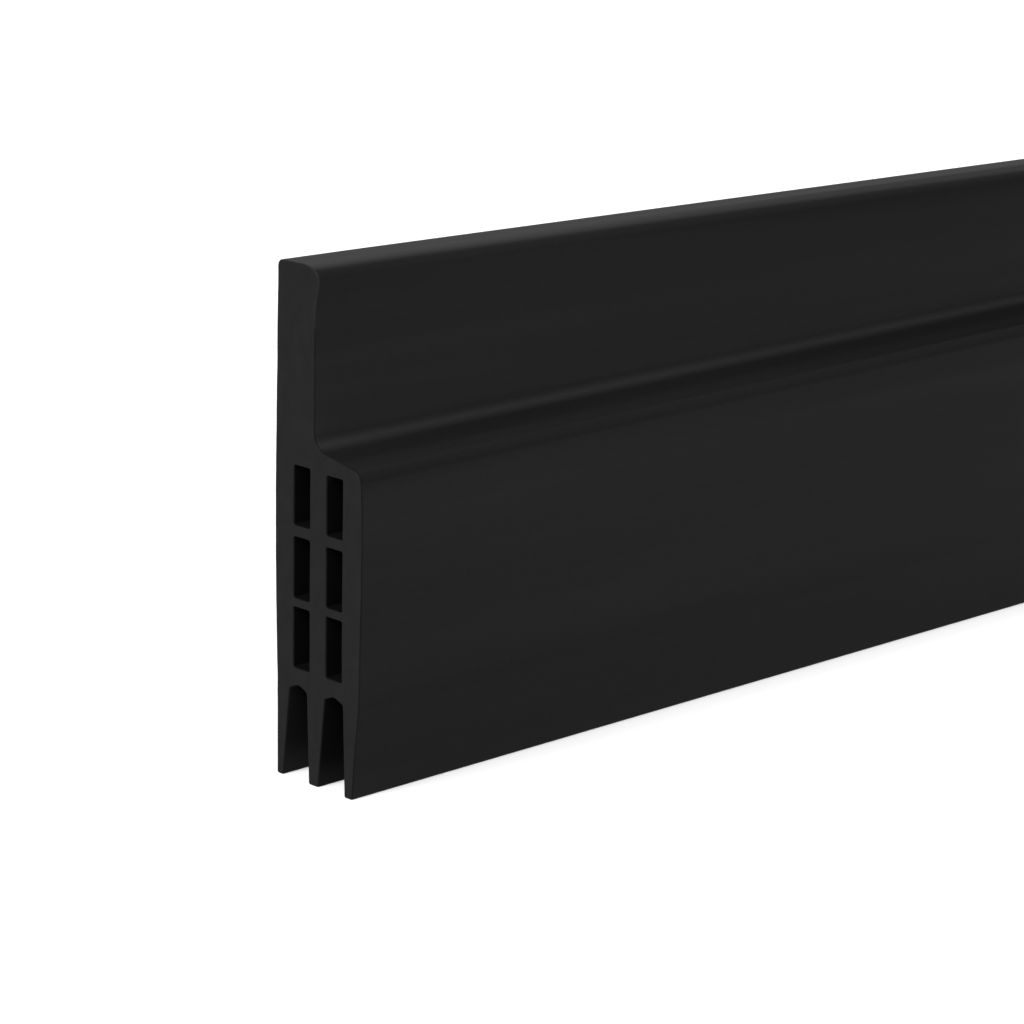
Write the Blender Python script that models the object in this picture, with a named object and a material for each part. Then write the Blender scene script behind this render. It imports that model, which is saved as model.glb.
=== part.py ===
"""A self-adhesive draught excluder: a silicone rubber strip that seals the gap under a door.

The strip is one extruded section, standing on its fins. The flange at its top is the part that is
stuck on, the body under it holds two columns of air cells, and three soft fins under the body wipe
the floor. A double-sided tape, and the liner that covers it until the strip is fitted, lie on the
flange's back.

Metres, +Z up. X runs along the strip, and +Y is its adhesive side. The origin is on the floor,
under the middle of the whole part.
"""

import math

import bpy

MM = 0.001

# Driving dimensions of the strip.
LENGTH = 1000 * MM
HEIGHT = 50 * MM
BODY_DEPTH = 11.9 * MM
FLANGE_DEPTH = 5.0 * MM

# The tape and its liner, and the gap that keeps touching solids apart.
SEAT_GAP = 0.3 * MM
TAPE_WIDTH = 15 * MM
TAPE_THICKNESS = 0.6 * MM
LINER_WIDTH = 16.6 * MM
LINER_THICKNESS = 0.15 * MM
LINER_TOP = HEIGHT - 0.6 * MM
END_MARGIN = 2 * MM

# Depths run from the flange's back to the strip's front, and the whole part is centred on Y.
LINER_DEPTH = -(SEAT_GAP + TAPE_THICKNESS + SEAT_GAP + LINER_THICKNESS)
BACK_Y = (BODY_DEPTH + LINER_DEPTH) / 2

# The shoulder, where the flange steps out to the body.
SHOULDER_ROOT = 32.95 * MM
SHOULDER_EDGE = 31.7 * MM

# The flange is thickest at its rounded top.
FLANGE_LIP = 0.85 * MM
FLANGE_LIP_FOOT = 45 * MM

# The back swells out a little behind the cells.
SWELL = 0.24 * MM
SWELL_FOOT = 9.5 * MM
SWELL_TOP = 41 * MM

# The air cells: the depths of a column's two walls, and the floor and roof of each of its cells.
CELL_COLUMNS = (
    {
        "walls": (2.32 * MM, 4.65 * MM),
        "cells": ((25.05 * MM, 30.85 * MM), (17.95 * MM, 23.95 * MM), (11.1 * MM, 17.1 * MM)),
    },
    {
        "walls": (6.97 * MM, 9.24 * MM),
        "cells": ((24.9 * MM, 30.65 * MM), (17.95 * MM, 23.8 * MM), (11.1 * MM, 17.1 * MM)),
    },
)
CELL_CORNER = 0.2 * MM

# The fins, from the front one to the back one: the depths of a fin's two faces at root and foot.
FIN_ROOT = 9 * MM
ARCH_TOP = 9.5 * MM
FINS = (
    {"root": (11.6 * MM, 9.56 * MM), "foot": (10.95 * MM, 9.88 * MM)},
    {"root": (6.97 * MM, 4.4 * MM), "foot": (6.1 * MM, 4.77 * MM)},
    {"root": (1.93 * MM, 0.1 * MM), "foot": (0.98 * MM, 0.15 * MM)},
)

# Corner radii.
TOP_BACK_RADIUS = 0.6 * MM
TOP_FRONT_RADIUS = 1.5 * MM
LIP_RADIUS = 10 * MM
ROOT_RADIUS = 2.2 * MM
SHOULDER_RADIUS = 1.4 * MM
FLANK_RADIUS = 12 * MM
ARCH_RADIUS = 1 * MM
ARCH_SIDE_RADIUS = 0.35 * MM
FOOT_RADIUS = 0.2 * MM

ARC_STEP = math.radians(12)
SWELL_STEPS = 8

RUBBER = {"color": (0.014, 0.014, 0.014, 1), "roughness": 0.5}
TAPE = {"color": (0.05, 0.042, 0.042, 1), "roughness": 0.6}
LINER = {"color": (0.5, 0.03, 0.025, 1), "roughness": 0.25}


def clear_scene():
    for obj in list(bpy.data.objects):
        bpy.data.objects.remove(obj, do_unlink=True)


def part_collection(name):
    collection = bpy.data.collections.new(name)
    bpy.context.scene.collection.children.link(collection)
    return collection


def finish(name, color, roughness, metallic=0.0):
    """A Principled material of one colour, roughness and metallic value."""
    material = bpy.data.materials.new(name)
    material.use_nodes = True
    shader = material.node_tree.nodes["Principled BSDF"]
    shader.inputs["Base Color"].default_value = color
    shader.inputs["Roughness"].default_value = roughness
    shader.inputs["Metallic"].default_value = metallic
    material.diffuse_color = color
    return material


def arc_at(corner, before, after):
    """The points of a rounded corner (depth, height, radius) between its two neighbours."""
    x, y, radius = corner
    if radius == 0:
        return [(x, y)]
    to_before = (before[0] - x, before[1] - y)
    to_after = (after[0] - x, after[1] - y)
    start, end = math.atan2(to_before[1], to_before[0]), math.atan2(to_after[1], to_after[0])
    opening = (end - start + math.pi) % (2 * math.pi) - math.pi
    half = opening / 2
    middle = start + half
    reach = radius / abs(math.sin(half))
    centre = (x + reach * math.cos(middle), y + reach * math.sin(middle))
    turn = math.copysign(math.pi - abs(opening), opening)
    steps = max(2, round(abs(turn) / ARC_STEP))
    first = middle + math.pi + turn / 2
    angles = [first - turn * step / steps for step in range(steps + 1)]
    return [(centre[0] + radius * math.cos(a), centre[1] + radius * math.sin(a)) for a in angles]


def rounded(corners):
    """A closed loop through corners (depth, height, radius), each turned into an arc."""
    loop = []
    for index, corner in enumerate(corners):
        loop += arc_at(corner, corners[index - 1], corners[(index + 1) % len(corners)])
    return loop


def swollen_back():
    """The back as sharp points on a shallow bow, from the fins up to the flange."""
    points = []
    foot_depth = FINS[-1]["root"][1]
    for step in range(SWELL_STEPS + 1):
        share = step / SWELL_STEPS
        height = SWELL_FOOT + (SWELL_TOP - SWELL_FOOT) * share
        bow = SWELL * math.sin(math.pi * share)
        points.append((foot_depth * (1 - share) - bow, height, 0))
    return points


def fin_corners():
    """The undersides of the section, from the front fin to the back one, with an arch between fins."""
    corners = []
    for index, fin in enumerate(FINS):
        front_root, back_root = fin["root"]
        front_foot, back_foot = fin["foot"]
        if index > 0:
            arch_middle = (FINS[index - 1]["root"][1] + front_root) / 2
            corners.append((arch_middle, ARCH_TOP, ARCH_RADIUS))
            corners.append((front_root, FIN_ROOT, ARCH_SIDE_RADIUS))
        corners.append((front_foot, 0, FOOT_RADIUS))
        corners.append((back_foot, 0, FOOT_RADIUS))
        if index < len(FINS) - 1:
            corners.append((back_root, FIN_ROOT, ARCH_SIDE_RADIUS))
    return corners


def strip_outline():
    """The outline of the rubber section: up the back, over the flange, down the front and the fins."""
    front_root = FINS[0]["root"][0]
    corners = swollen_back() + [
        (0, HEIGHT, TOP_BACK_RADIUS),
        (FLANGE_DEPTH + FLANGE_LIP, HEIGHT, TOP_FRONT_RADIUS),
        (FLANGE_DEPTH, FLANGE_LIP_FOOT, LIP_RADIUS),
        (FLANGE_DEPTH, SHOULDER_ROOT, ROOT_RADIUS),
        (BODY_DEPTH, SHOULDER_EDGE, SHOULDER_RADIUS),
        (BODY_DEPTH, (SHOULDER_EDGE + FIN_ROOT) / 2, 0),
        (front_root, FIN_ROOT, FLANK_RADIUS),
    ]
    return rounded(corners + fin_corners())


def cell_outlines():
    loops = []
    for column in CELL_COLUMNS:
        back, front = column["walls"]
        for floor, roof in column["cells"]:
            box = ((back, floor), (back, roof), (front, roof), (front, floor))
            loops.append(rounded([(depth, height, CELL_CORNER) for depth, height in box]))
    return loops


def extruded(name, loops, length, material, collection):
    """A flat outline, with any holes in it, drawn out along X. Loops hold (depth, height) points."""
    curve = bpy.data.curves.new(name, "CURVE")
    curve.dimensions = "2D"
    curve.fill_mode = "BOTH"
    curve.extrude = length / 2
    for loop in loops:
        spline = curve.splines.new("POLY")
        spline.points.add(len(loop) - 1)
        for point, (depth, height) in zip(spline.points, loop):
            point.co = (BACK_Y - depth, height, 0, 1)
        spline.use_cyclic_u = True
    curve.materials.append(material)
    obj = bpy.data.objects.new(name, curve)
    # The outline's own x and y become the part's Y and Z, and the extrusion runs along X.
    obj.rotation_euler = (math.pi / 2, 0, math.pi / 2)
    collection.objects.link(obj)
    return obj


def flat_band(name, inner_depth, thickness, width, material, collection):
    """A thin band on the flange's back. It stops short of the strip's ends and of its top."""
    place = (0, BACK_Y - inner_depth + thickness / 2, LINER_TOP - LINER_WIDTH / 2)
    bpy.ops.mesh.primitive_cube_add(size=1, location=place)
    obj = bpy.context.object
    obj.name = name
    obj.scale = (LENGTH - 2 * END_MARGIN, thickness, width)
    bpy.ops.object.transform_apply(location=False, rotation=False, scale=True)
    obj.data.materials.append(material)
    for holder in list(obj.users_collection):
        holder.objects.unlink(obj)
    collection.objects.link(obj)
    return obj


def build_strip(collection):
    loops = [strip_outline()] + cell_outlines()
    extruded("seal_strip", loops, LENGTH, finish("silicone_rubber", **RUBBER), collection)


def build_tape(collection):
    material = finish("adhesive_foam", **TAPE)
    flat_band("adhesive_tape", -SEAT_GAP, TAPE_THICKNESS, TAPE_WIDTH, material, collection)


def build_liner(collection):
    material = finish("liner_film", **LINER)
    inner_depth = -(SEAT_GAP + TAPE_THICKNESS + SEAT_GAP)
    flat_band("release_liner", inner_depth, LINER_THICKNESS, LINER_WIDTH, material, collection)


def main():
    clear_scene()
    collection = part_collection("draught_excluder")
    build_strip(collection)
    build_tape(collection)
    build_liner(collection)


main()
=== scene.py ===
import math
import random
import bpy
from mathutils import Matrix, Vector, noise


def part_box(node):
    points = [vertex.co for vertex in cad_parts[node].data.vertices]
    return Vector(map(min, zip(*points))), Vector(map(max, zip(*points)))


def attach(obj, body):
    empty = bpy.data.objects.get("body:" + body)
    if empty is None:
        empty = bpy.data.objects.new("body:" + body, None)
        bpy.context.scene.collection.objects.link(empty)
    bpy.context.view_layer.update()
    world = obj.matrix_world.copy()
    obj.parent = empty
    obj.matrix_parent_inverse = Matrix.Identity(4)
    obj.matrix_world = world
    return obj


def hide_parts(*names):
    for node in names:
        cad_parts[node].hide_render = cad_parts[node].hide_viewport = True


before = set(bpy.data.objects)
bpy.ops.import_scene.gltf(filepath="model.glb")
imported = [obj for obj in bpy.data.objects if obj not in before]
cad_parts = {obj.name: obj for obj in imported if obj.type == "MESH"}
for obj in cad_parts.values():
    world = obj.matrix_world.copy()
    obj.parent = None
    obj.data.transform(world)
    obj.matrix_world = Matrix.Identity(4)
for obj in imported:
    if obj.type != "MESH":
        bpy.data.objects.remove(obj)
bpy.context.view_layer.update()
# lengths are in metres, and are written as so many mm
mm = 0.001


# small helpers

def deselectAll():
    bpy.ops.object.select_all(action="DESELECT")


def activate(piece):
    deselectAll()
    piece.select_set(True)
    bpy.context.view_layer.objects.active = piece


def span(start, end, step):
    # values from start to end, evenly spread, no further apart than step
    count = max(1, math.ceil((end - start) / step))
    return [start + (end - start) * i / count for i in range(count + 1)]


def smoothStep(value, start, end):
    t = min(1.0, max(0.0, (value - start) / (end - start)))
    return t * t * (3 - 2 * t)


def hump(value, centre, reach):
    # 1 at the centre, easing to 0 at reach on both sides
    return 1 - smoothStep(abs(value - centre), 0, reach)


def window(value, rise, fall):
    # 0, easing up to 1 between the two places of rise, and back to 0 between those of fall
    return smoothStep(value, *rise) * (1 - smoothStep(value, *fall))


def ripple(x, y, z, cells, seed):
    # soft noise about 0, with its own cells per metre each way, and another one for each seed
    return noise.noise(Vector((x * cells[0], y * cells[1], z * cells[2] + seed * 17.3)))


def cutAcross(places, normal):
    # rings of new edges through all that shows in edit mode, at places along a main axis
    for place in places:
        bpy.ops.mesh.select_all(action="SELECT")
        bpy.ops.mesh.bisect(plane_co=Vector(normal) * place, plane_no=normal)


def selectFaces(piece, wanted):
    # faces picked by a test on their place and normal
    bpy.ops.mesh.select_all(action="DESELECT")
    bpy.ops.object.mode_set(mode="OBJECT")
    for face in piece.data.polygons:
        face.select = wanted(face.center, face.normal)
    bpy.ops.object.mode_set(mode="EDIT")


# materials

def newMaterial(name):
    material = bpy.data.materials.new(name)
    material.use_nodes = True
    shader = material.node_tree.nodes["Principled BSDF"]
    return material, shader


def addNode(material, kind, **values):
    node = material.node_tree.nodes.new(kind)
    for key, value in values.items():
        setattr(node, key, value)
    return node


def link(material, source, target):
    material.node_tree.links.new(source, target)


def noiseAt(material, cellsPerMetre, detail):
    # noise on Object coordinates, with its own number of cells per metre each way
    place = addNode(material, "ShaderNodeTexCoord")
    mapping = addNode(material, "ShaderNodeMapping")
    mapping.inputs["Scale"].default_value = cellsPerMetre
    texture = addNode(material, "ShaderNodeTexNoise")
    texture.inputs["Scale"].default_value = 1.0
    texture.inputs["Detail"].default_value = detail
    texture.inputs["Roughness"].default_value = 0.55
    link(material, place.outputs["Object"], mapping.inputs["Vector"])
    link(material, mapping.outputs["Vector"], texture.inputs["Vector"])
    return texture.outputs["Fac"]


def ranged(material, value, low, high, fromLow=0.3, fromHigh=0.7):
    # noise lies mostly from 0.3 to 0.7, and comes out from low to high
    node = addNode(material, "ShaderNodeMapRange")
    node.inputs["From Min"].default_value = fromLow
    node.inputs["From Max"].default_value = fromHigh
    node.inputs["To Min"].default_value = low
    node.inputs["To Max"].default_value = high
    link(material, value, node.inputs["Value"])
    return node.outputs["Result"]


def blended(material, factor, low, high):
    node = addNode(material, "ShaderNodeMix", data_type="RGBA")
    # a mix node takes its factor at socket 0 and its colours at 6 and 7, and gives one at 2
    node.inputs[6].default_value = (*low, 1)
    node.inputs[7].default_value = (*high, 1)
    link(material, factor, node.inputs[0])
    return node.outputs[2]


def multiplied(material, *values):
    product = values[0]
    for value in values[1:]:
        node = addNode(material, "ShaderNodeMath", operation="MULTIPLY")
        link(material, product, node.inputs[0])
        link(material, value, node.inputs[1])
        product = node.outputs[0]
    return product


def toned(material, colour, share):
    # a colour, set here or linked, made lighter or darker by a share of itself
    node = addNode(material, "ShaderNodeVectorMath", operation="SCALE")
    if isinstance(colour, tuple):
        node.inputs[0].default_value = colour
    else:
        link(material, colour, node.inputs[0])
    link(material, share, node.inputs["Scale"])
    return node.outputs[0]


def bumped(material, height, distance, strength, normal=None):
    node = addNode(material, "ShaderNodeBump")
    node.inputs["Strength"].default_value = strength
    node.inputs["Distance"].default_value = distance
    link(material, height, node.inputs["Height"])
    if normal is not None:
        link(material, normal, node.inputs["Normal"])
    return node.outputs["Normal"]


# in these looks each noise has its cells per metre and its detail, and its share of the tone

skinLook = {
    "tone": (0.0120, 0.0120, 0.0122),
    "specular": 0.025,
    "backSpecular": 0.30,
    "roughness": (0.28, 0.34),
    "streaks": ((9, 420, 420), 4.0),
    "streakTone": (0.93, 1.07),
    "fineStreaks": ((30, 4200, 4200), 2.0),
    "clouds": ((16, 90, 90), 3.0),
    "cloudTone": (0.94, 1.06),
    "grain": ((1400, 3800, 3800), 2.0),
    "grainTone": (0.95, 1.05),
    "lines": 0.02 * mm,
    "backLines": 0.08 * mm,
    "fineLines": 0.003 * mm,
    "bump": 0.5,
}


def siliconeSkin(name, specular, lineHeight):
    # the extruded skin: satin black, drawn out in faint lines along the strip, its tone carrying
    # the painted light and shade of its vertices
    look = skinLook
    material, shader = newMaterial(name)
    streaks = noiseAt(material, *look["streaks"])
    fine = noiseAt(material, *look["fineStreaks"])
    clouds = noiseAt(material, *look["clouds"])
    grain = noiseAt(material, *look["grain"])
    # painted light and shade, set on the vertices, darken and lighten the skin's tone
    paintedShading = addNode(material, "ShaderNodeAttribute", attribute_name="painted_light_tone")
    share = multiplied(
        material, paintedShading.outputs["Fac"],
        ranged(material, clouds, *look["cloudTone"]),
        ranged(material, streaks, *look["streakTone"]),
        ranged(material, grain, *look["grainTone"]),
    )
    link(material, toned(material, look["tone"], share), shader.inputs["Base Color"])
    link(material, ranged(material, streaks, *look["roughness"]), shader.inputs["Roughness"])
    lines = bumped(material, streaks, lineHeight, look["bump"])
    finer = bumped(material, fine, look["fineLines"], look["bump"], lines)
    link(material, finer, shader.inputs["Normal"])
    shader.inputs["Specular IOR Level"].default_value = specular
    return material


cutLook = {
    "tone": (0.0098, 0.0098, 0.0100),
    "specular": 0.04,
    "roughness": 0.7,
    "mottle": ((700, 700, 420), 5.0),
    "mottleTone": (0.90, 1.10),
    "blade": ((900, 2600, 160), 3.0),
    "bladeTone": (0.95, 1.05),
    "grain": ((6000, 6000, 6000), 2.0),
    "grainTone": (0.92, 1.08),
    "bladeDepth": 0.01 * mm,
    "grainDepth": 0.02 * mm,
    "bump": 0.4,
}


def cutSilicone():
    # the sawn end: matt, with faint marks of the blade
    look = cutLook
    material, shader = newMaterial("silicone_cut")
    mottle = noiseAt(material, *look["mottle"])
    blade = noiseAt(material, *look["blade"])
    grain = noiseAt(material, *look["grain"])
    share = multiplied(
        material,
        ranged(material, mottle, *look["mottleTone"]),
        ranged(material, blade, *look["bladeTone"]),
        ranged(material, grain, *look["grainTone"]),
    )
    link(material, toned(material, look["tone"], share), shader.inputs["Base Color"])
    shader.inputs["Roughness"].default_value = look["roughness"]
    shader.inputs["Specular IOR Level"].default_value = look["specular"]
    scored = bumped(material, blade, look["bladeDepth"], look["bump"])
    grained = bumped(material, grain, look["grainDepth"], look["bump"], scored)
    link(material, grained, shader.inputs["Normal"])
    return material


foamLook = {
    "dark": (0.030, 0.020, 0.020),
    "light": (0.055, 0.042, 0.042),
    "roughness": 0.7,
    "cells": ((3500, 3500, 3500), 3.0),
    "cellDepth": 0.05 * mm,
    "bump": 0.6,
}


def foamTape():
    look = foamLook
    material, shader = newMaterial("tape_foam")
    cells = noiseAt(material, *look["cells"])
    # its cells have a harder edge than other noise
    lightness = ranged(material, cells, 0, 1, fromLow=0.35, fromHigh=0.65)
    tone = blended(material, lightness, look["dark"], look["light"])
    link(material, tone, shader.inputs["Base Color"])
    shader.inputs["Roughness"].default_value = look["roughness"]
    pitted = bumped(material, cells, look["cellDepth"], look["bump"])
    link(material, pitted, shader.inputs["Normal"])
    return material


filmLook = {
    "stuck": (0.50, 0.018, 0.013),
    "lifted": (0.38, 0.005, 0.003),
    "specular": 0.38,
    "roughness": (0.10, 0.30),
    "haze": ((45, 260, 260), 4.0),
    "hazeTone": (0.88, 1.12),
    "specks": ((900, 900, 900), 2.0),
    "speckTone": (0.96, 1.04),
    "pulls": ((420, 90, 90), 3.0),
    "pullDepth": 0.04 * mm,
    "bump": 0.35,
}


def linerFilm():
    # glossy red film: hazy where it is stuck down, deeper where it has lifted
    look = filmLook
    material, shader = newMaterial("liner_red_film")
    haze = noiseAt(material, *look["haze"])
    specks = noiseAt(material, *look["specks"])
    pulls = noiseAt(material, *look["pulls"])
    lifted = addNode(material, "ShaderNodeAttribute", attribute_name="film_lift")
    edge = addNode(material, "ShaderNodeAttribute", attribute_name="film_edge")
    tone = blended(material, lifted.outputs["Fac"], look["stuck"], look["lifted"])
    share = multiplied(
        material, edge.outputs["Fac"],
        ranged(material, haze, *look["hazeTone"]),
        ranged(material, specks, *look["speckTone"]),
    )
    link(material, toned(material, tone, share), shader.inputs["Base Color"])
    link(material, ranged(material, haze, *look["roughness"]), shader.inputs["Roughness"])
    pulled = bumped(material, pulls, look["pullDepth"], look["bump"])
    link(material, pulled, shader.inputs["Normal"])
    shader.inputs["Specular IOR Level"].default_value = look["specular"]
    return material


# the strip: heights are from the floor, depths from the flange's back

strip = {
    # the mesh: rings along the strip, rows up it, and rows over the shoulder and the top
    "closeRings": 2.5 * mm,
    "farRings": 16 * mm,
    "closeLength": 130 * mm,
    "rowStep": 1.0 * mm,
    "rowMargin": 0.5 * mm,
    "shoulderStep": 0.5 * mm,
    # closer points than these are one, in the solid as it comes and in the finished mesh
    "doubles": 0.01 * mm,
    "sliver": 0.02 * mm,
    # in degrees: faces this flat to each other are one, and edges up to the last are smooth
    "endFlat": 0.1,
    "quadFlat": 1,
    "smoothAngle": 20,
    # normals from these shares on count as facing up, to the back and to an end
    "facesUp": 0.2,
    "facesBack": 0.8,
    "facesEnd": 0.9,
    # the section's own places, and how steeply its shoulder falls
    "backPlane": 5.275 * mm,
    "backReach": 1.2 * mm,
    "flangeDepth": 5.0 * mm,
    "innerCorner": 32.95 * mm,
    "cornerReach": 3 * mm,
    "slope": 0.18,
    "cellDepths": (1.5 * mm, 10.5 * mm),
    "cellHeights": (10.6 * mm, 31.3 * mm),
    "channelDepths": (0.7 * mm, 10.4 * mm),
    "channelTop": 9.7 * mm,
    "midFin": 5.4 * mm,
    # shifts to the front, where they ease in and out: of the cells, the flange and the body
    "shifts": (
        {
            "by": 0.12 * mm,
            "depths": ((0.3 * mm, 2.2 * mm), (9.3 * mm, 11.6 * mm)),
            "heights": ((9.6 * mm, 11 * mm), (30.9 * mm, 32.6 * mm)),
        },
        {
            "by": 0.34 * mm,
            "depths": ((2 * mm, 4 * mm), (6 * mm, 9 * mm)),
            "heights": ((32 * mm, 35 * mm), (44.3 * mm, 47 * mm)),
        },
        {
            "by": 0.18 * mm,
            "depths": ((10.4 * mm, 11.4 * mm), (13 * mm, 14 * mm)),
            "heights": ((5 * mm, 9 * mm), (28 * mm, 31 * mm)),
        },
    ),
    # soft drift of the shoulder behind the near end
    "shoulderRise": 1.7 * mm,
    "riseEnd": 106 * mm,
    "riseGone": (126 * mm, 260 * mm),
    "riseHeights": ((18 * mm, 30 * mm), (36 * mm, 46 * mm)),
    "riseBack": 5 * mm,
    # the top's front edge draws back behind the cut end
    "lipDepths": (2.5 * mm, 4.5 * mm),
    "lipDraw": 0.55 * mm,
    "drawHeights": (46 * mm, 49 * mm),
    "drawAlong": ((0, 90 * mm), (110 * mm, 260 * mm)),
    # past this depth and height it has a slight belly, and the top falls a little to it
    "lipZone": (3 * mm, 44 * mm),
    "lipBelly": 0.08 * mm,
    "bellyAt": (46.9 * mm, 1.8 * mm),
    "lipFall": 0.22 * mm,
    "fallAt": (4.6 * mm, 1.1 * mm),
    "fallHeights": (49.2 * mm, 49.6 * mm),
    # at the cuts it stands out a little, and the back's top leans in
    "flareLength": 10 * mm,
    "lipFlare": 0.30 * mm,
    "flareHeights": (45.8 * mm, 48.6 * mm),
    "backLean": 0.12 * mm,
    "leanHeights": (42 * mm, 50 * mm),
    "leanDepths": (1 * mm, 3 * mm),
    # slight waves of the sides, which leave the fins' feet alone
    "waveHeight": 0.03 * mm,
    "waveNoise": ((35, 0, 60), 1),
    "freeHeights": (2 * mm, 8 * mm),
    # the cuts' rims: each step's way in and out, and how the saw has left them
    "rimSteps": ((0.03 * mm, 0.06 * mm), (0.04 * mm, 0.04 * mm)),
    "rimClear": 0.2 * mm,
    "rimTone": 0.14 * mm,
    "rimWander": 0.03 * mm,
    "rimNoise": ((300, 400, 500), 5),
    "rimReach": 3 * mm,
}

# painted light and shade on the skin, as shares of its tone: lighter and darker lines, bands and
# edges where light and shade fall
paintedLightTone = {
    # painted light and shade by distance from the cut, in mm
    "along": ((0, 1.0), (20, 1.0), (100, 0.80), (180, 0.86), (400, 1.0), (1000, 1.0)),
    # painted shading by height down the front, in mm
    "front": (
        (0, 1.02), (2, 0.84), (5, 0.78), (8, 0.78), (11, 0.90), (17, 0.96), (22, 1.02),
        (26, 1.06), (28, 1.13), (29, 1.15), (30, 1.0), (50, 1.0),
    ),
    # painted shading by height up the flange, in mm
    "flange": (
        (0, 1.0), (34, 1.0), (36, 1.04), (38, 1.10), (41, 0.98), (43, 0.94), (46, 0.87),
        (48.6, 0.86), (49, 1.0),
    ),
    # the lines below change from the cut to this far behind it
    "fadeLength": 110 * mm,
    # over the shoulder, by distance from the inner corner: a painted highlight in the corner,
    # painted light on the flange's foot, painted shade on the slope and on the shoulder's edge
    "shoulder": (
        {"atCut": 0.72, "behind": 0.324, "place": (0.3 * mm, 0.95 * mm)},
        {"atCut": 0.30, "behind": 0.30, "place": (-2.1 * mm, 2.4 * mm)},
        {"atCut": 0.0, "behind": -0.20, "place": (6.0 * mm, 2.2 * mm)},
        {"atCut": -0.22, "behind": -0.066, "place": (7.4 * mm, 1.3 * mm)},
    ),
    # a painted shadow band under the corner's painted highlight
    "darkBand": -0.27,
    "darkPlace": ((1.1 * mm, 1.8 * mm), (3.4 * mm, 5.4 * mm)),
    # the shoulder's and the flange's tones count from these depths out, behind the flange's front
    "shoulderFrom": -0.5 * mm,
    "flangeFrom": -1.2 * mm,
    # painted shade: the front's top is darker behind the cut
    "frontDepth": 5 * mm,
    "frontTop": 0.08,
    "frontTopHeights": (20 * mm, 28 * mm),
    # painted light on the top: a painted highlight on its front edge, and painted shade towards
    # its back
    "topBand": 1 * mm,
    "lip": {"atCut": 1.35, "behind": 0.3375, "place": (4.2 * mm, 0.85 * mm)},
    "topFront": -0.08,
    "topFrontDepths": (1 * mm, 1.8 * mm),
    "topBack": -0.28,
    "topBackDepths": (0.1 * mm, 1 * mm),
    "topBackAlong": (10 * mm, 60 * mm),
    # where little light gets in
    "inside": 0.3,
    "frontChannel": 0.35,
    "backChannel": 0.6,
    # painted shade on the cuts' rims, less of it on the cells' rims, and a painted highlight on
    # the rim along the top
    "rim": 0.6,
    "lipRim": 1.4,
    "lipRimHeights": (43 * mm, 46 * mm),
    "cellRim": 0.8,
}


def roundTheCuts(piece, low, high):
    # both sawn ends are drawn in, and come out again in two narrowing steps
    steps = strip["rimSteps"]
    rim = sum(out for inward, out in steps)
    for side, end in ((1, low.x), (-1, high.x)):
        selectFaces(piece, lambda place, normal: abs(place.x - end) < strip["doubles"])
        bpy.ops.mesh.dissolve_limited(angle_limit=math.radians(strip["endFlat"]))
        bpy.ops.transform.translate(value=(side * rim, 0, 0))
        for inward, out in steps:
            bpy.ops.mesh.inset(thickness=inward, depth=out, use_boundary=True)


def cutFiner(piece, low, high):
    # rows up the strip first, then rows over its top and shoulder with the rest hidden
    margin = strip["rowMargin"]
    cutAcross(span(margin, high.z - margin, strip["rowStep"]), (0, 0, 1))
    shoulder, up = strip["innerCorner"] - strip["cornerReach"], strip["facesUp"]
    selectFaces(piece, lambda place, normal: normal.z > up and place.z > shoulder)
    bpy.ops.mesh.hide(unselected=True)
    cutAcross(span(low.y, high.y, strip["shoulderStep"])[1:-1], (0, 1, 0))
    bpy.ops.mesh.reveal()
    # rings along it, closer together near the end that the camera sees
    closeEnd = low.x + strip["closeLength"]
    clear = strip["rimClear"]
    cutAcross([low.x + clear, high.x - clear], (1, 0, 0))
    cutAcross(span(low.x, closeEnd, strip["closeRings"])[1:], (1, 0, 0))
    cutAcross(span(closeEnd, high.x, strip["farRings"])[1:-1], (1, 0, 0))
    bpy.ops.mesh.select_all(action="SELECT")
    bpy.ops.mesh.remove_doubles(threshold=strip["sliver"])


def dressStrip(piece):
    # skin all over, the sawn look on both ends, and a glossier skin on the die's polished side
    look = skinLook
    piece.data.materials.clear()
    for material in (
        siliconeSkin("silicone_skin", look["specular"], look["lines"]),
        cutSilicone(),
        siliconeSkin("silicone_back", look["backSpecular"], look["backLines"]),
    ):
        piece.data.materials.append(material)
    backFrom = strip["backPlane"] - strip["backReach"]
    for face in piece.data.polygons:
        if abs(face.normal.x) > strip["facesEnd"]:
            face.material_index = 1
        elif face.normal.y > strip["facesBack"] and face.center.y > backFrom:
            face.material_index = 2


def makeStrip():
    print("strip: a finer copy of the section, with its soft irregularities")
    low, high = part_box("seal_strip")
    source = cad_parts["seal_strip"]
    piece = bpy.data.objects.new("silicone_strip", source.data.copy())
    bpy.context.scene.collection.objects.link(piece)
    activate(piece)
    bpy.ops.object.mode_set(mode="EDIT")
    bpy.ops.mesh.select_all(action="SELECT")
    bpy.ops.mesh.remove_doubles(threshold=strip["doubles"])
    flat, anyShape = math.radians(strip["quadFlat"]), math.radians(180)
    bpy.ops.mesh.tris_convert_to_quads(face_threshold=flat, shape_threshold=anyShape)
    bpy.ops.mesh.select_mode(type="FACE")
    roundTheCuts(piece, low, high)
    cutFiner(piece, low, high)
    bpy.ops.object.mode_set(mode="OBJECT")
    dressStrip(piece)
    paintStripLight(piece, low, high)
    shapeStrip(piece, low, high)
    bpy.ops.object.shade_smooth_by_angle(angle=math.radians(strip["smoothAngle"]))
    weighted = piece.modifiers.new("even shading", "WEIGHTED_NORMAL")
    weighted.keep_sharp = True
    bpy.ops.object.modifier_apply(modifier=weighted.name)
    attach(piece, "root")
    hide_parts("seal_strip")
    print("strip faces:", len(piece.data.polygons))


def inCells(fromBack, z):
    return (
        strip["cellDepths"][0] < fromBack < strip["cellDepths"][1]
        and strip["cellHeights"][0] < z < strip["cellHeights"][1]
    )


def inChannels(fromBack, z):
    return (
        strip["channelDepths"][0] < fromBack < strip["channelDepths"][1]
        and z < strip["channelTop"]
    )


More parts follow.
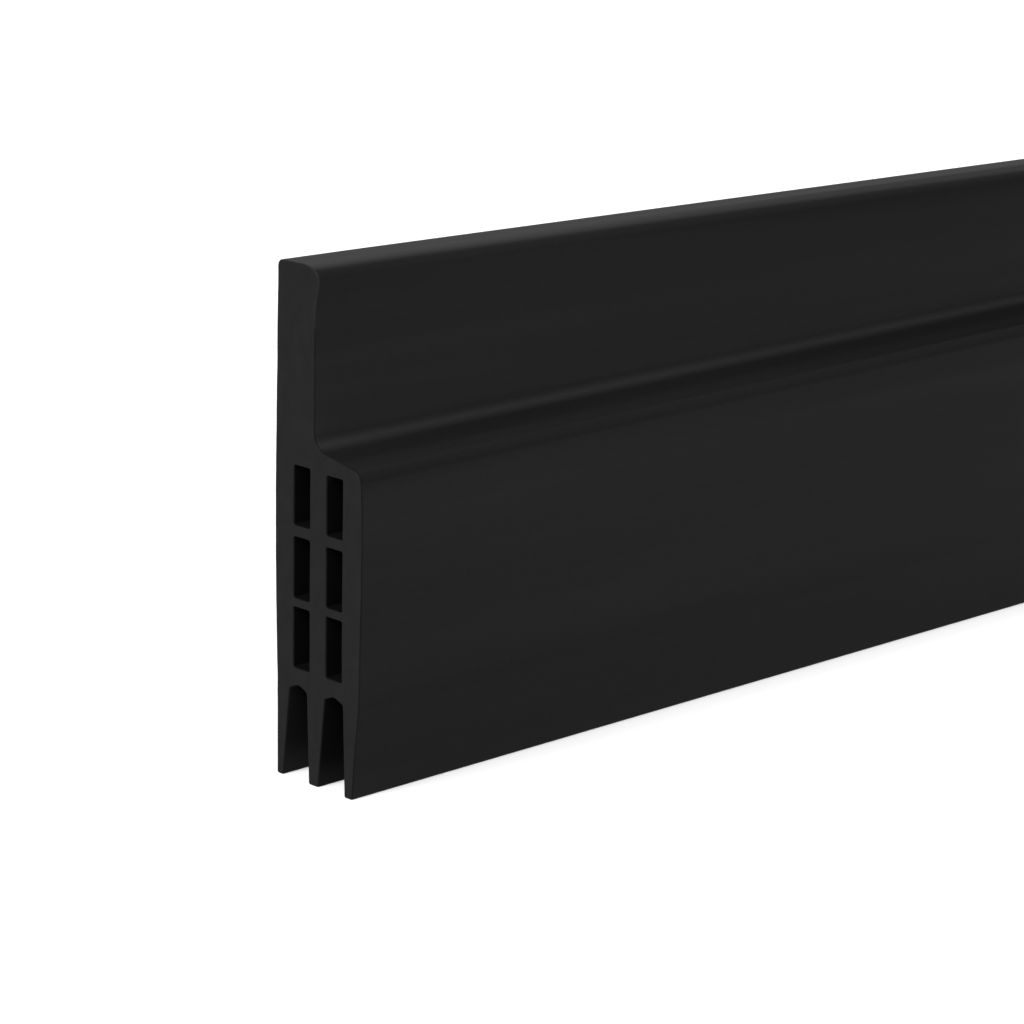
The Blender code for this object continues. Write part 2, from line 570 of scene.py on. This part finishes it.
def shareAt(place, pairs):
    # between the pairs, whose places are in mm, the share follows straight lines
    for (lowAt, lowShare), (highAt, highShare) in zip(pairs, pairs[1:]):
        if place <= highAt * mm:
            t = (place / mm - lowAt) / (highAt - lowAt)
            return lowShare + (highShare - lowShare) * t
    return pairs[-1][1]


def lineTone(line, place, fade):
    # a soft line at a place, which changes with the distance behind the cut
    return (line["atCut"] + (line["behind"] - line["atCut"]) * fade) * hump(place, *line["place"])


def riseAt(along, z):
    # how far the shoulder has drifted up, at a distance behind the cut end
    drift = strip["shoulderRise"] * min(along / strip["riseEnd"], 1.0)
    drift *= 1 - smoothStep(along, *strip["riseGone"])
    return drift * window(z, *strip["riseHeights"])


def paintStripLight(piece, low, high):
    # painted light and shade: a painted highlight in the inner corner with a painted shadow band
    # under it, a painted highlight on the top edge, painted shade in the holes
    look = paintedLightTone
    tones = piece.data.attributes.new("painted_light_tone", "FLOAT", "POINT")
    corner, reach = strip["innerCorner"], strip["cornerReach"]
    topLow = high.z - look["topBand"]
    for index, vertex in enumerate(piece.data.vertices):
        x, y, z = vertex.co
        fromBack = strip["backPlane"] - y
        depth = fromBack - strip["flangeDepth"]
        along = x - low.x
        # painted light and shade by distance from the cut
        tone = shareAt(along, look["along"])
        fade = smoothStep(along, 0, look["fadeLength"])
        if depth > look["shoulderFrom"] and corner - reach < z < corner + reach:
            # out along the slope from the inner corner, and negative back up the flange
            over = depth - (z - corner + strip["slope"] * max(depth, 0))
            # painted highlight and shade over the shoulder, with a painted shadow band
            tone += sum(lineTone(line, over, fade) for line in look["shoulder"])
            tone += look["darkBand"] * window(over, *look["darkPlace"])
        elif depth > look["frontDepth"]:
            # painted shading down the front, and painted shade on its top behind the cut
            tone *= shareAt(z + riseAt(along, z), look["front"])
            tone *= 1 - look["frontTop"] * fade * smoothStep(z, *look["frontTopHeights"])
        elif depth > look["flangeFrom"] and corner + reach < z < topLow:
            # painted shading up the flange
            tone *= shareAt(z, look["flange"])
        elif z > topLow:
            # a painted highlight on the top's front edge, painted shade towards its back
            tone += lineTone(look["lip"], fromBack, fade)
            tone += look["topFront"] * smoothStep(fromBack, *look["topFrontDepths"])
            atBack = 1 - smoothStep(fromBack, *look["topBackDepths"])
            tone += look["topBack"] * atBack * (1 - smoothStep(along, *look["topBackAlong"]))
        # painted shade inside the cells and channels
        elif inCells(fromBack, z):
            tone *= look["inside"]
        elif inChannels(fromBack, z):
            tone *= look["frontChannel" if fromBack > strip["midFin"] else "backChannel"]
        # painted shade on the cuts' rims, and a painted highlight on the rim along the top
        if min(along, high.x - x) < strip["rimTone"]:
            atLip = smoothStep(z, *look["lipRimHeights"])
            tone = look["rim"] + (look["lipRim"] - look["rim"]) * atLip
            if inCells(fromBack, z):
                tone = look["cellRim"]
        tones.data[index].value = tone


def shapeStrip(piece, low, high):
    for vertex in piece.data.vertices:
        x, y, z = vertex.co
        along = x - low.x
        fromCut = min(along, high.x - x)
        fromBack = strip["backPlane"] - y
        atLip = smoothStep(fromBack, *strip["lipDepths"])
        flare = 1 - smoothStep(fromCut, 0, strip["flareLength"])
        for shift in strip["shifts"]:
            here = window(fromBack, *shift["depths"]) * window(z, *shift["heights"])
            vertex.co.y -= shift["by"] * here
        frontness = smoothStep(-y, -high.y, -low.y - strip["riseBack"])
        vertex.co.z += riseAt(along, z) * frontness
        draw = window(along, *strip["drawAlong"]) * smoothStep(z, *strip["drawHeights"])
        vertex.co.y += strip["lipDraw"] * draw * atLip
        out = flare * smoothStep(z, *strip["flareHeights"])
        vertex.co.y -= strip["lipFlare"] * out * atLip
        lean = flare * smoothStep(z, *strip["leanHeights"])
        lean *= 1 - smoothStep(fromBack, *strip["leanDepths"])
        vertex.co.y -= strip["backLean"] * lean
        if fromBack > strip["lipZone"][0] and z > strip["lipZone"][1]:
            vertex.co.y -= strip["lipBelly"] * hump(z, *strip["bellyAt"])
            fall = hump(fromBack, *strip["fallAt"]) * smoothStep(z, *strip["fallHeights"])
            vertex.co.z -= strip["lipFall"] * fall
        free = smoothStep(z, *strip["freeHeights"])
        vertex.co.y += strip["waveHeight"] * free * ripple(x, y, z, *strip["waveNoise"])
        atCut = free * (1 - smoothStep(fromCut, 0, strip["rimReach"]))
        vertex.co.y += strip["rimWander"] * atCut * ripple(x, y, z, *strip["rimNoise"])


# tape and liner

tape = {
    # it reaches from the flange to the liner, and stops short of each by this much
    "seat": 0.02 * mm,
    "shortOfLiner": 0.14 * mm,
    "round": 0.12 * mm,
    "ringStep": 4 * mm,
    "edgeWander": 0.12 * mm,
    "edgeNoise": ((90, 1, 0), 2),
    "smoothAngle": 40,
}


def makeTape():
    print("tape: the dark foam between flange and liner")
    low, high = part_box("adhesive_tape")
    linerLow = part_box("release_liner")[0]
    gap = linerLow.y - high.y
    inner = low.y - gap + tape["seat"]
    outer = linerLow.y - tape["shortOfLiner"]
    deselectAll()
    middle = ((low.x + high.x) / 2, (inner + outer) / 2, (low.z + high.z) / 2)
    bpy.ops.mesh.primitive_cube_add(size=1, location=middle)
    piece = bpy.context.object
    piece.name = "foam_tape"
    piece.scale = (high.x - low.x, outer - inner, high.z - low.z)
    bpy.ops.object.transform_apply(location=True, rotation=False, scale=True)
    bpy.ops.object.mode_set(mode="EDIT")
    bpy.ops.mesh.select_all(action="SELECT")
    bpy.ops.mesh.bevel(offset=tape["round"], segments=2, affect="EDGES")
    cutAcross(span(low.x, high.x, tape["ringStep"])[1:-1], (1, 0, 0))
    bpy.ops.object.mode_set(mode="OBJECT")
    # the two long edges wander, each in its own way
    for vertex in piece.data.vertices:
        side = math.copysign(1, vertex.co.z - middle[2])
        wander = ripple(vertex.co.x, side, 0, *tape["edgeNoise"])
        vertex.co.z += tape["edgeWander"] * wander
    piece.data.materials.append(foamTape())
    bpy.ops.object.shade_smooth_by_angle(angle=math.radians(tape["smoothAngle"]))
    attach(piece, "root")
    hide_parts("adhesive_tape")


liner = {
    "along": 1600,
    "across": 16,
    "film": 0.1 * mm,
    "smoothAngle": 50,
    # the long edges curl in past the tape, with a soft crest along the lower one
    "curl": 0.45 * mm,
    "curlWidth": 1.3 * mm,
    "crest": 0.14 * mm,
    "crestAt": 1.7 * mm,
    "crestReach": 1.5 * mm,
    # slow waves, and bubbles where their noise passes a level
    "wave": 0.10 * mm,
    "waveNoise": ((60, 70, 0), 3),
    "waveLevel": 0.4,
    "bubble": 0.9 * mm,
    "bubbleNoise": ((24, 75, 0), 4),
    "bubbleLevel": 0.30,
    "bubbleClear": (0.4 * mm, 3 * mm),
    # folds that run across the film in small groups
    "foldGroups": 30,
    "foldMargin": 15 * mm,
    "foldsEach": (2, 5),
    "foldSpread": 3.5 * mm,
    "foldHeight": (0.10 * mm, 0.30 * mm),
    "foldWidth": (0.7 * mm, 1.5 * mm),
    "foldReach": (0.35, 1.1),
    "foldFull": 0.3,
    "foldFar": 12 * mm,
    "foldSlant": 0.35,
    "foldTurn": 0.1,
    "seed": 11,
    # the film's slit edges are uneven
    "slitWander": 0.12 * mm,
    "slitNoise": ((45, 0, 0), 6),
    "slitReach": 2 * mm,
    # how lifted the film looks, and how dark at its edges
    "bubbleLook": 5,
    "liftLook": 0.3,
    "liftHeights": (0.1 * mm, 0.3 * mm),
    "edgeTone": 0.35,
    "edgePlace": (0.1 * mm, 0.9 * mm),
}


def drawFolds(low, high):
    # each fold: where it starts along the film, from which edge, slant, height, width, length
    chance = random.Random(liner["seed"])
    margin, slantMost, turn = liner["foldMargin"], liner["foldSlant"], liner["foldTurn"]
    folds = []
    for group in range(liner["foldGroups"]):
        middle = chance.uniform(low.x + margin, high.x - margin)
        slant = chance.uniform(-slantMost, slantMost)
        fromTop = chance.random() < 0.5
        for each in range(chance.randint(*liner["foldsEach"])):
            folds.append({
                "x": middle + chance.gauss(0, 1) * liner["foldSpread"],
                "slant": slant + chance.uniform(-turn, turn),
                "height": chance.uniform(*liner["foldHeight"]),
                "width": chance.uniform(*liner["foldWidth"]),
                "reach": chance.uniform(*liner["foldReach"]) * (high.z - low.z),
                "fromTop": fromTop,
            })
    return folds


def foldLift(x, z, low, high, folds):
    lift = 0.0
    for fold in folds:
        offset = x - fold["x"]
        if abs(offset) > liner["foldFar"]:
            continue
        inward = high.z - z if fold["fromTop"] else z - low.z
        offset -= fold["slant"] * inward
        along = 1 - smoothStep(inward, liner["foldFull"] * fold["reach"], fold["reach"])
        lift += fold["height"] * along * math.exp(-(offset / fold["width"]) ** 2)
    return lift


def shapeFilm(piece, low, high):
    folds = drawFolds(low, high)
    lifts = piece.data.attributes.new("film_lift", "FLOAT", "POINT")
    edges = piece.data.attributes.new("film_edge", "FLOAT", "POINT")
    for index, vertex in enumerate(piece.data.vertices):
        x, y, z = vertex.co
        edge = min(z - low.z, high.z - z)
        free = smoothStep(edge, *liner["bubbleClear"])
        bubble = max(0.0, ripple(x, z, 0, *liner["bubbleNoise"]) - liner["bubbleLevel"]) * free
        wave = ripple(x, z, 0, *liner["waveNoise"]) - liner["waveLevel"]
        lift = liner["wave"] * wave + liner["bubble"] * bubble
        lift += liner["crest"] * hump(z, low.z + liner["crestAt"], liner["crestReach"])
        lift += foldLift(x, z, low, high, folds)
        curl = 1 - smoothStep(edge, 0, liner["curlWidth"])
        vertex.co.y += lift - liner["curl"] * curl
        atSlit = 1 - smoothStep(edge, 0, liner["slitReach"])
        vertex.co.z += liner["slitWander"] * ripple(x, 0, 0, *liner["slitNoise"]) * atSlit
        lifted = liner["liftLook"] * smoothStep(lift, *liner["liftHeights"])
        lifts.data[index].value = min(1.0, bubble * liner["bubbleLook"] + lifted)
        clearness = smoothStep(edge, *liner["edgePlace"])
        edges.data[index].value = liner["edgeTone"] + (1 - liner["edgeTone"]) * clearness


def makeLiner():
    print("liner: red film with its folds, waves and bubbles")
    low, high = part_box("release_liner")
    deselectAll()
    width, length = high.z - low.z, high.x - low.x
    middle = Vector(((low.x + high.x) / 2, high.y - liner["film"] / 2, (low.z + high.z) / 2))
    bpy.ops.mesh.primitive_grid_add(
        x_subdivisions=liner["along"], y_subdivisions=liner["across"], size=1,
        location=middle, rotation=(-math.pi / 2, 0, 0),
    )
    piece = bpy.context.object
    piece.name = "red_liner"
    piece.scale = (length, width, 1)
    bpy.ops.object.transform_apply(location=True, rotation=True, scale=True)
    shapeFilm(piece, low, high)
    wall = piece.modifiers.new("film", "SOLIDIFY")
    wall.thickness = liner["film"]
    wall.offset = 0
    bpy.ops.object.modifier_apply(modifier=wall.name)
    piece.data.materials.append(linerFilm())
    bpy.ops.object.shade_smooth_by_angle(angle=math.radians(liner["smoothAngle"]))
    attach(piece, "root")
    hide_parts("release_liner")


# floor, light and camera

floorLook = {"size": 200.0, "tone": 0.92, "roughness": 0.9}


def makeFloor():
    print("floor")
    deselectAll()
    bpy.ops.mesh.primitive_plane_add(size=floorLook["size"], location=(0, 0, 0))
    floor = bpy.context.object
    floor.name = "floor"
    material, shader = newMaterial("floor_white")
    shader.inputs["Base Color"].default_value = (*[floorLook["tone"]] * 3, 1)
    shader.inputs["Roughness"].default_value = floorLook["roughness"]
    shader.inputs["Specular IOR Level"].default_value = 0.0
    floor.data.materials.append(material)


light = {
    "sunPower": 4.1,
    "sunWidth": 40,
    "sunTurn": -75,
    "sunHeight": 46,
    # the studio walls' brightness by height above the horizon, in degrees
    "walls": ((0, 0.43), (13, 0.28), (20, 0.8), (32, 0.9), (42, 0.3), (90, 0.3)),
}


def makeLight():
    print("light")
    bpy.ops.object.light_add(type="SUN", location=(0, 0, 3))
    sun = bpy.context.object
    sun.name = "softbox_sun"
    sun.data.energy = light["sunPower"]
    sun.data.angle = math.radians(light["sunWidth"])
    turn, height = math.radians(light["sunTurn"]), math.radians(light["sunHeight"])
    flat = math.cos(height)
    fromWhere = Vector((math.sin(turn) * flat, -math.cos(turn) * flat, math.sin(height)))
    sun.rotation_euler = fromWhere.to_track_quat("Z", "Y").to_euler()
    world = bpy.data.worlds.new("studio")
    world.use_nodes = True
    bpy.context.scene.world = world
    nodes, links = world.node_tree.nodes, world.node_tree.links
    place = nodes.new("ShaderNodeTexCoord")
    parts = nodes.new("ShaderNodeSeparateXYZ")
    ramp = nodes.new("ShaderNodeValToRGB")
    stops = ramp.color_ramp.elements
    for index, (degrees, strength) in enumerate(light["walls"]):
        # a new ramp has two stops, and the others are added at its end
        stop = stops[index] if index < 2 else stops.new(1.0)
        stop.position = math.sin(math.radians(degrees))
        stop.color = (strength, strength, strength, 1)
    links.new(place.outputs["Generated"], parts.inputs["Vector"])
    links.new(parts.outputs["Z"], ramp.inputs["Fac"])
    links.new(ramp.outputs["Color"], nodes["Background"].inputs["Color"])
    nodes["Background"].inputs["Strength"].default_value = 1.0
    bpy.context.scene.view_settings.view_transform = "Standard"


camera = {
    "lens": 110.76,
    "yaw": 44.574,
    "pitch": 14.22,
    "roll": 1.16,
    # from the cut end, the front and the floor
    "place": (-186.15 * mm, -208.66 * mm, 99.19 * mm),
    "sensor": 36,
    "clip": (0.01, 100),
}


def makeCamera():
    print("camera")
    low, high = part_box("seal_strip")
    yaw, pitch, roll = (math.radians(camera[key]) for key in ("yaw", "pitch", "roll"))
    flat = math.cos(pitch)
    ahead = Vector((math.sin(yaw) * flat, math.cos(yaw) * flat, -math.sin(pitch)))
    level = Vector((math.cos(yaw), -math.sin(yaw), 0))
    upward = level.cross(ahead)
    right = math.cos(roll) * level + math.sin(roll) * upward
    up = math.cos(roll) * upward - math.sin(roll) * level
    place = Vector(camera["place"]) + Vector((low.x, low.y, 0))
    bpy.ops.object.camera_add()
    cam = bpy.context.object
    cam.data.lens = camera["lens"]
    cam.data.sensor_width = camera["sensor"]
    cam.data.clip_start, cam.data.clip_end = camera["clip"]
    turned = Matrix((right, up, -ahead)).transposed().to_4x4()
    cam.matrix_world = Matrix.Translation(place) @ turned
    bpy.context.scene.camera = cam


makeCamera()
makeFloor()
makeLight()
makeStrip()
makeTape()
makeLiner()
